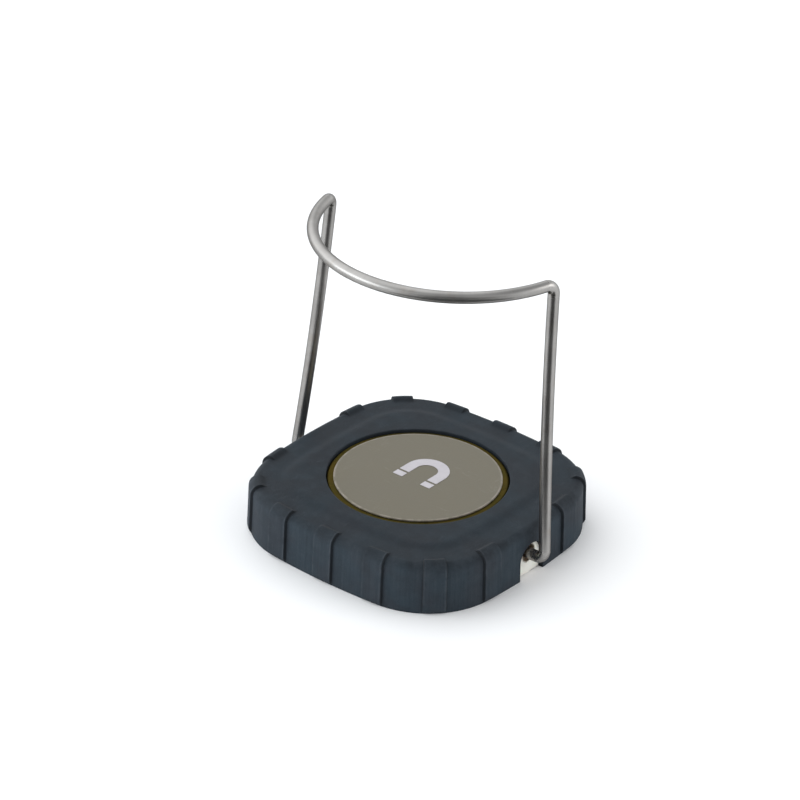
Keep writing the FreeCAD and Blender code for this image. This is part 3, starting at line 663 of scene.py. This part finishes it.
def boot_profile(s, height):
    """Outer profile from the foot to the flat top: (inset, height) with its outward normal."""
    edge = height - s.rim_fall
    flat_end = s.ridge_inset + TOP_STRIP
    corners = [Vector((0.0, 0.0)), Vector((-s.draft, edge)),
               Vector((s.step_width - s.ridge_inset, height - s.step_fall)),
               Vector((-s.ridge_inset, height)), Vector((-flat_end, height))]
    line = [place for place, _ in rounded_line(corners, (s.edge_round, s.step_round, s.step_round), 24)]
    dense = [line[0]]
    for place in line[1:]:
        steps = max(1, math.ceil((place - dense[-1]).length / PROFILE_STEP))
        start = dense[-1]
        dense += [start.lerp(place, i / steps) for i in range(1, steps + 1)]
    profile = []
    for i, place in enumerate(dense):
        ahead = dense[min(i + 1, len(dense) - 1)] - dense[max(i - 1, 0)]
        profile.append((-place.x, place.y, Vector((ahead.y, -ahead.x)).normalized()))
    return profile


def boot_mesh(s, half, height, window):
    """Closed skin of the boot: outer wall, top, window, inside and foot; pads raised on the outer wall."""
    outline = Outline(half, s.side_radius, s.corner_radius)
    total = 4 * outline.quarter
    pads = list(outline.pads(s.pad_pitch))
    alongs = fine_steps(total, s.step, pads, s.pad_width / 2, s.pad_edge)
    arcs = [outline.arc(along) for along in alongs]

    def off_pad(along):
        """Distance past the nearest pad's edge; negative on a pad."""
        nearest = min(min(abs(along - pad), total - abs(along - pad)) for pad in pads)
        return nearest - s.pad_width / 2

    beyond = [off_pad(along) for along in alongs]

    def plan(i, inset, level):
        """Place of column i on the plan, moved in by the inset."""
        centre, radius, turn = arcs[i]
        return Vector((centre.x + (radius - inset) * math.cos(turn),
                       centre.y + (radius - inset) * math.sin(turn), level))

    rows, painted_shade, wear_and_highlight, wall, over = [], [], [], [], []
    travelled, last = 0.0, None

    def add(points, dark, rubbed_and_lit, side):
        """One more row of the skin, with its painted shade, its wear and painted highlight, and how much of
        it is wall.
        """
        rows.append(points)
        painted_shade.extend(dark)
        wear_and_highlight.extend(rubbed_and_lit)
        wall.extend([side] * len(points))
        over.append(travelled)

    columns = range(len(alongs))
    none = [0.0] * len(alongs)
    for inset, level, normal in boot_profile(s, height):
        if last is not None:
            travelled += (Vector((inset, level)) - last).length
        last = Vector((inset, level))
        foot = min(1.0, level / s.pad_chamfer) if level < height / 2 else 1.0
        end = inset - (s.pad_reach - s.pad_edge) if level > height / 2 else -1.0
        points, dark, rubbed_and_lit = [], [], []
        for i in columns:
            step_side = smoothstep(0.5 - beyond[i] / s.pad_edge)
            step_end = smoothstep(1 - (end + s.pad_end / 2) / s.pad_end)
            rise = s.pad_proud * foot * step_side * step_end
            turn = arcs[i][2]
            point = plan(i, inset, level)
            point += Vector((normal.x * math.cos(turn), normal.x * math.sin(turn), normal.y)) * rise
            points.append(point)
            beside, ahead = beyond[i] / s.pad_edge, end / s.pad_end
            # Painted shade: dark in the corner beside each pad's side and at its inner end.
            low = bell(beside, 0.10, 0.55) * smoothstep(0.9 - ahead)
            shade = bell(ahead, 0.15, 0.55) * smoothstep(0.8 - beside / 3) * 0.5
            dark.append(max(low, shade) * foot)
            # Painted highlight: a lighter line along each pad's sides; the upper edge gets wear and a
            # painted highlight too.
            rim = bell(beside, -1.1, 0.7) * smoothstep(0.2 - ahead)
            off_bend = abs(inset - s.draft - BEND_INSET) if level > height / 2 else BEND_WIDTH
            rubbed_and_lit.append(max(rim * foot * 0.9, smoothstep(1 - off_bend / BEND_WIDTH) * 0.25))
        # wall is 1 on the wall and 0 over the top; the top's colour is painted darker from it as painted
        # shade.
        add(points, dark, rubbed_and_lit, smoothstep((height - s.rim_fall - level) / s.edge_round))
    bearings = []
    for i in columns:
        point = plan(i, s.ridge_inset, height)
        bearings.append(math.atan2(point.y, point.x))

    def circle(radius, level):
        return [Vector((radius * math.cos(b), radius * math.sin(b), level)) for b in bearings]

    outer, inner = rows[-1], circle(window + s.window_round, height)
    for k in range(1, 9):
        travelled += 1.0 * MM
        add([a.lerp(b, k / 8) for a, b in zip(outer, inner)], none, none, 0.0)
    for k in range(1, 7):
        turn = k / 6 * math.pi / 2
        travelled += s.window_round * math.pi / 12
        radius = window + s.window_round * (1 - math.sin(turn))
        # The window's rounded edge is painted lighter: wear and a painted highlight.
        add(circle(radius, height - s.window_round * (1 - math.cos(turn))), none,
            [0.25 * math.sin(2 * turn)] * len(alongs), 0.0)
    ceiling = height - s.roof
    for k in range(1, 5):
        travelled += (s.roof - s.window_round) / 4
        level = height - s.window_round - (s.roof - s.window_round) * k / 4
        # Painted shade that deepens down the window's inner wall.
        add(circle(window, level), [0.08 * k] * len(alongs), none, 0.0)
    roof_line = rows[-1]
    inside = [plan(i, s.wall, ceiling) for i in columns]
    for k in range(1, 5):
        travelled += SKIN_STEP
        add([a.lerp(b, k / 4) for a, b in zip(roof_line, inside)], none, none, 0.0)
    for level in (ceiling * 0.66, ceiling * 0.33, s.lip_height):
        travelled += ceiling * 0.33
        add([plan(i, s.wall, level) for i in columns], none, none, 0.0)
    for inset, level in ((s.wall + s.lip_width, s.lip_height), (s.wall + s.lip_width, 0.0),
                         (s.wall + s.lip_width * 0.5, 0.0), (s.wall * 0.5, 0.0)):
        travelled += s.lip_width * 0.6
        add([plan(i, inset, level) for i in columns], none, [0.4 if level == 0 else 0.0] * len(alongs), 0.0)
    return grid_mesh("rubber_boot_skin", rows, True,
                     {"u": alongs, "v": over, "around": total, "over": travelled + s.wall / 2},
                     {"painted_shade": painted_shade, "wear_and_highlight": wear_and_highlight, "wall": wall})


def notch_mesh(half_width, top, reach):
    """Arched prism along X, from below the foot to a half-round top."""
    spring, low, steps = top - half_width, -2 * MM, 40
    ring = [(half_width, low)] + [(half_width * math.cos(math.pi * k / steps),
                                   spring + half_width * math.sin(math.pi * k / steps))
                                  for k in range(steps + 1)] + [(-half_width, low)]
    mesh = bpy.data.meshes.new("notch")
    count = len(ring)
    points = [(x, y, z) for x in (-reach, reach) for y, z in ring]
    faces = [tuple(range(count)), tuple(range(2 * count - 1, count - 1, -1))]
    faces += [(i, i + count, (i + 1) % count + count, (i + 1) % count) for i in range(count)]
    mesh.from_pydata(points, [], faces)
    bm = bmesh.new()
    bm.from_mesh(mesh)
    bmesh.ops.recalc_face_normals(bm, faces=bm.faces)
    bm.to_mesh(mesh)
    bm.free()
    return mesh


class MAGNETHOLDER_OT_boot(bpy.types.Operator):
    """Moulded rubber boot with raised grip pads and a notch on each side"""
    bl_idname = "magnet_holder.boot"
    bl_label = "Rubber Boot"

    def execute(self, context):
        s, finish = settings().boot, settings().finish
        half, height = BOOT_HIGH.y - s.pad_proud, PLATE_HIGH.z + s.recess
        mesh = boot_mesh(s, half, height, PLATE_HIGH.x + s.cup_shoulder + s.window_gap)
        boot = make_piece("rubber_boot_skin", mesh, "base", rubber_finish(finish))
        notch = bpy.data.objects.new("notch", notch_mesh(s.notch_half, PIVOT.z + s.notch_rise, 2 * half))
        context.scene.collection.objects.link(notch)
        cut = boot.modifiers.new("notch", "BOOLEAN")
        cut.object, cut.operation, cut.solver = notch, "DIFFERENCE", "EXACT"
        context.view_layer.update()
        cut_mesh = bpy.data.meshes.new_from_object(boot.evaluated_get(context.evaluated_depsgraph_get()))
        boot.modifiers.clear()
        boot.data = cut_mesh
        bpy.data.objects.remove(notch)
        cut_mesh.set_sharp_from_angle(angle=math.radians(38.0))
        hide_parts("rubber_boot")
        return {"FINISHED"}


# ---------------------------------------------------------------- face plate and magnet

def lathe_mesh(name, profile, steps):
    """Surface turned round Z; profile runs (radius, height) and both ends close on the axis."""
    bm = bmesh.new()
    rings = []
    for radius, level in profile:
        rings.append([bm.verts.new((radius * math.cos(2 * math.pi * i / steps),
                                    radius * math.sin(2 * math.pi * i / steps), level))
                      for i in range(steps)])
    for lower, upper in zip(rings, rings[1:]):
        for i in range(steps):
            beside = (i + 1) % steps
            bm.faces.new((lower[i], lower[beside], upper[beside], upper[i]))
    bottom = bm.verts.new((0.0, 0.0, profile[0][1]))
    top = bm.verts.new((0.0, 0.0, profile[-1][1]))
    for i in range(steps):
        beside = (i + 1) % steps
        bm.faces.new((bottom, rings[0][beside], rings[0][i]))
        bm.faces.new((top, rings[-1][i], rings[-1][beside]))
    mesh = bpy.data.meshes.new(name)
    bm.to_mesh(mesh)
    bm.free()
    return mesh


class MAGNETHOLDER_OT_face_plate(bpy.types.Operator):
    """Round enamelled face plate with a rolled rim, and its printed mark"""
    bl_idname = "magnet_holder.face_plate"
    bl_label = "Face Plate"

    def execute(self, context):
        s, finish = settings().plate, settings().finish
        radius, low, high = PLATE_HIGH.x, PLATE_LOW.z, PLATE_HIGH.z
        rim = [(radius - s.rim_round * (1 - math.sin(turn)), high - s.rim_round * (1 - math.cos(turn)))
               for turn in (math.pi / 2 * (1 - k / 8) for k in range(9))]
        profile = [(radius * 0.5, low), (radius - 0.1 * MM, low), (radius, low + 0.1 * MM)] + rim
        profile += [(radius * part, high) for part in (0.985, 0.96, 0.9, 0.75, 0.5, 0.25)]
        mesh = lathe_mesh("face_plate_disc", profile, 192)
        plate = make_piece("face_plate_disc", mesh, "base", enamel_finish(finish, radius))
        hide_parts("face_plate")
        paint(ink_finish(finish), "face_mark")
        return {"FINISHED"}


class MAGNETHOLDER_OT_magnet(bpy.types.Operator):
    """Finishes of the pot magnet: cup, pole, spacer, magnet ring and resin"""
    bl_idname = "magnet_holder.magnet"
    bl_label = "Magnet Finishes"

    def execute(self, context):
        finish = settings().finish
        paint(passivated_finish(finish), "magnet_cup")
        paint(ground_finish("pole_steel", finish.pole), "pole_core")
        paint(turned_finish("spacer_brass", finish.brass), "core_spacer")
        paint(ground_finish("ferrite", finish.ferrite, 0.1, 0.5), "ring_magnet")
        paint(resin_finish(finish), "potting_ring")
        return {"FINISHED"}


class MAGNETHOLDER_OT_chassis(bpy.types.Operator):
    """Finishes of the chassis plate, posts, bottom cover and screws"""
    bl_idname = "magnet_holder.chassis"
    bl_label = "Chassis Finishes"

    def execute(self, context):
        finish = settings().finish
        paint(plated_finish("zinc_plate", finish.zinc, (0.04, 1, 1)), "chassis_plate", "corner_posts",
              "bottom_cover")
        paint(plated_finish("screw_steel", finish.screw, (1, 1, 0.3)), "core_screw", "flange_screws",
              "block_screws", "cover_screws")
        return {"FINISHED"}


class MAGNETHOLDER_OT_pivots(bpy.types.Operator):
    """Finishes of the nylon pivot blocks, friction washers and push-on clips"""
    bl_idname = "magnet_holder.pivots"
    bl_label = "Pivot Finishes"

    def execute(self, context):
        finish, cradle = settings().finish, settings().cradle
        paint(nylon_finish(finish, PIVOT.z, cradle.wire + cradle.relief), "pivot_block_right",
              "pivot_block_left")
        paint(turned_finish("washer_brass", finish.brass), "friction_washer_right", "friction_washer_left")
        paint(turned_finish("clip_steel", finish.spring, 0.3), "pin_clip_right", "pin_clip_left")
        return {"FINISHED"}


# ---------------------------------------------------------------- wire cradle

def cradle_line(s, foot, pin_end):
    """Centre line of the wire with the legs upright and the pins on the hinge axis."""
    top = foot - s.lean
    reach = top / math.tan(s.toe_in)
    right = [Vector((pin_end, 0, 0)), Vector((foot, 0, 0)),
             Vector(((foot + top) / 2 - s.bow, 0, s.leg / 2)), Vector((top, 0, s.leg))]
    meeting = Vector((0, -reach * math.cos(s.dip), s.leg - reach * math.sin(s.dip)))
    left = [Vector((-point.x, point.y, point.z)) for point in reversed(right)]
    leg, first_run = right[2] - right[3], meeting - right[3]
    used = s.bend / math.tan(leg.angle(first_run) / 2)
    opening = (right[3] - meeting).angle(left[0] - meeting)
    straight = s.bend / 10
    loop_radius = (first_run.length - used - straight) * math.tan(opening / 2)
    knee = (right[1] - right[2]).angle(right[3] - right[2])
    leg_radius = (leg.length - 2 * s.bend) * math.tan(knee / 2)
    radii = [s.bend, leg_radius, s.bend, loop_radius, s.bend, leg_radius, s.bend]
    line = rounded_line(right + [meeting] + left, radii, s.arc_steps)
    spread = [line[0]]
    for place, bent in line[1:]:
        gap = place - spread[-1][0]
        if gap.length < 1e-6:
            continue
        steps = max(1, math.ceil(gap.length / WIRE_STEP))
        start = spread[-1][0]
        spread += [(start.lerp(place, i / steps), bent) for i in range(1, steps + 1)]
    return spread


def wire_mesh(name, line, radius, steps):
    """Round wire along a line, its ends softly rounded."""
    places = [place for place, _ in line]
    frames, side = [], None
    for i, place in enumerate(places):
        ahead = (places[min(i + 1, len(places) - 1)] - places[max(i - 1, 0)]).normalized()
        if side is None:
            side = ahead.orthogonal().normalized()
        side = (side - ahead * side.dot(ahead)).normalized()
        frames.append((place, ahead, side, ahead.cross(side)))
    first, last = frames[0], frames[-1]
    ends = [(radius * depth, radius * width) for depth, width in WIRE_TIP]
    stations = [(first[0] + first[1] * depth, first, r, 0.0) for depth, r in ends]
    stations += [(here[0], here, radius, bent) for here, (_, bent) in zip(frames[1:-1], line[1:-1])]
    stations += [(last[0] - last[1] * depth, last, r, 0.0) for depth, r in reversed(ends)]
    rows, distance, travelled, bends = [], [], 0.0, []
    for k, (place, (_, ahead, side, up), r, bent) in enumerate(stations):
        if k:
            travelled += (place - stations[k - 1][0]).length
        distance.append(travelled)
        rows.append([place + (side * math.cos(turn) + up * math.sin(turn)) * r for turn in
                     (2 * math.pi * i / steps for i in range(steps))])
        bends.extend([bent] * steps)
    around = [2 * math.pi * radius * i / steps for i in range(steps)]
    mesh = grid_mesh(name, rows, False, {"u": around, "v": distance, "around": 2 * math.pi * radius,
                                         "over": travelled}, {"bent": bends})
    bm = bmesh.new()
    bm.from_mesh(mesh)
    bm.verts.ensure_lookup_table()
    bm.faces.new([bm.verts[i] for i in reversed(range(steps))])
    bm.faces.new([bm.verts[len(bm.verts) - steps + i] for i in range(steps)])
    bmesh.ops.recalc_face_normals(bm, faces=bm.faces)
    bm.to_mesh(mesh)
    bm.free()
    return mesh


class MAGNETHOLDER_OT_cradle(bpy.types.Operator):
    """Cradle bent from one drawn stainless wire"""
    bl_idname = "magnet_holder.cradle"
    bl_label = "Wire Cradle"

    def execute(self, context):
        s, finish = settings().cradle, settings().finish
        line = cradle_line(s, WIRE_HIGH.x - s.wire, CLIP_LOW.x - s.pin_stub)
        mesh = wire_mesh("wire_cradle_drawn", line, s.wire, s.round_steps)
        mesh.transform(Matrix.Translation(PIVOT) @ Matrix.Rotation(-s.tilt, 4, "X"))
        wire = make_piece("wire_cradle_drawn", mesh, "cradle", wire_finish(finish), 60.0)
        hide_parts("wire_cradle")
        return {"FINISHED"}


# ---------------------------------------------------------------- stage

def view_axes(azimuth, elevation):
    """Right, up and backward directions of a level view."""
    back = Vector((math.sin(azimuth) * math.cos(elevation), -math.cos(azimuth) * math.cos(elevation),
                   math.sin(elevation)))
    right = Vector((math.cos(azimuth), math.sin(azimuth), 0.0))
    return right, back.cross(right), back


def softbox(name, azimuth, elevation, distance, width, height, watts, tint):
    """Rectangular soft light that looks at the middle of the object."""
    light = bpy.data.lights.new(name, "AREA")
    light.shape, light.size, light.size_y = "RECTANGLE", width, height
    light.energy, light.color = watts, tint
    lamp = bpy.data.objects.new(name, light)
    bpy.context.scene.collection.objects.link(lamp)
    right, up, back = view_axes(math.radians(azimuth), math.radians(elevation))
    lamp.matrix_world = Matrix.Translation(back * distance + Vector((0, 0, 0.04))) @ Matrix(
        (right, up, back)).transposed().to_4x4()


class MAGNETHOLDER_OT_stage(bpy.types.Operator):
    """Pale floor, soft studio lights and the camera"""
    bl_idname = "magnet_holder.stage"
    bl_label = "Stage"

    def execute(self, context):
        s = settings().stage
        scene = context.scene
        half = s.floor_size / 2
        mesh = bpy.data.meshes.new("floor")
        mesh.from_pydata([(-half, -half, 0), (half, -half, 0), (half, half, 0), (-half, half, 0)], [],
                         [(0, 1, 2, 3)])
        paper = Finish("floor_paper")
        tone = paper.noise(paper.place(), 90 * MM, 2.0, 0.5)
        mesh.materials.append(paper.finish(
            base_color=tone.blend(times(s.floor, PAPER_TONE), s.floor), roughness=0.9,
            specular_ior_level=0.1))
        floor = bpy.data.objects.new("floor", mesh)
        floor.location.z = -FLOOR_DROP
        scene.collection.objects.link(floor)
        world = bpy.data.worlds.new("room")
        world.use_nodes = True
        scene.world = world
        tent = Nodes(world.node_tree)
        outward = tent.place(0)
        front = outward.along((math.sin(s.azimuth), -math.cos(s.azimuth), 0.0))
        roof = tent.part(outward, "Z").between(0.25, 0.85)
        key = outward.along(KEY_SIDE).between(0.55, 0.95)
        strength = s.side_strength + roof * (s.top_strength - s.side_strength) + key * s.key_strength
        strength = strength + front.between(0.62, 0.92) * (s.front_strength - strength)
        light = tent.node("ShaderNodeBackground", sockets={"Color": opaque(s.sky), "Strength": strength})
        tent.node("ShaderNodeOutputWorld", sockets={"Surface": light})
        softbox("softbox_left", azimuth=-38, elevation=16, distance=1.1, width=0.8, height=0.5,
                watts=s.left_power, tint=(0.90, 0.96, 1.0))
        softbox("softbox_right", azimuth=122, elevation=24, distance=1.2, width=0.6, height=0.6,
                watts=s.right_power, tint=(1.0, 0.98, 0.96))
        right, up, back = view_axes(s.azimuth, s.elevation)
        flag = bpy.data.meshes.new("flag")
        ahead = Vector((back.x, back.y, 0.0)).normalized()
        lift = Vector((0, 0, FLAG_LIFT))
        flag.from_pydata([tuple(right * x + ahead * y + lift) for x, y in FLAG_CORNERS], [], [(0, 1, 2, 3)])
        flag.materials.append(Finish("flag_cloth").finish(base_color=(0.06, 0.06, 0.06), roughness=1.0,
                                                          specular_ior_level=0.0))
        card = bpy.data.objects.new("flag", flag)
        scene.collection.objects.link(card)
        card.visible_camera = card.visible_diffuse = False
        card.visible_shadow = card.visible_transmission = False
        camera = bpy.data.cameras.new("camera")
        camera.lens, camera.sensor_width, camera.sensor_fit = s.lens, s.sensor, "HORIZONTAL"
        camera.clip_start, camera.clip_end = 0.05, 50.0
        eye = bpy.data.objects.new("camera", camera)
        scene.collection.objects.link(eye)
        across = right * math.cos(s.roll) + up * math.sin(s.roll)
        over = up * math.cos(s.roll) - right * math.sin(s.roll)
        eye.matrix_world = Matrix.Translation(right * s.side + up * s.rise + back * s.distance) @ Matrix(
            (across, over, back)).transposed().to_4x4()
        scene.camera = eye
        scene.view_settings.view_transform = "Standard"
        return {"FINISHED"}


class MAGNETHOLDER_PT_sidebar(bpy.types.Panel):
    """Lists the builders and their settings"""
    bl_idname = "MAGNETHOLDER_PT_sidebar"
    bl_label = "Magnet Holder"
    bl_space_type = "VIEW_3D"
    bl_region_type = "UI"
    bl_category = "Magnet Holder"

    def draw(self, context):
        for operator, group in ((MAGNETHOLDER_OT_boot, "boot"), (MAGNETHOLDER_OT_face_plate, "plate"),
                                (MAGNETHOLDER_OT_magnet, None), (MAGNETHOLDER_OT_chassis, None),
                                (MAGNETHOLDER_OT_pivots, None), (MAGNETHOLDER_OT_cradle, "cradle"),
                                (MAGNETHOLDER_OT_stage, "stage")):
            box = self.layout.box()
            box.operator(operator.bl_idname)
            values = getattr(context.scene.magnet_holder, group) if group else None
            for name in (values.__annotations__ if values else ()):
                box.prop(values, name)
        colours = self.layout.box()
        for name in Finishes.__annotations__:
            colours.prop(context.scene.magnet_holder.finish, name)


GROUPS = (BootSizes, PlateSizes, CradleSizes, Finishes, StageSettings, HolderSettings)
BUILDERS = (MAGNETHOLDER_OT_boot, MAGNETHOLDER_OT_face_plate, MAGNETHOLDER_OT_magnet,
            MAGNETHOLDER_OT_chassis, MAGNETHOLDER_OT_pivots, MAGNETHOLDER_OT_cradle, MAGNETHOLDER_OT_stage)
CLASSES = GROUPS + BUILDERS + (MAGNETHOLDER_PT_sidebar,)


def register():
    for item in CLASSES:
        bpy.utils.register_class(item)
    bpy.types.Scene.magnet_holder = bpy.props.PointerProperty(type=HolderSettings)


def unregister():
    del bpy.types.Scene.magnet_holder
    for item in reversed(CLASSES):
        bpy.utils.unregister_class(item)


def main():
    register()
    for builder in BUILDERS:
        group, name = builder.bl_idname.split(".")
        getattr(getattr(bpy.ops, group), name)()


if __name__ == "__main__":
    main()
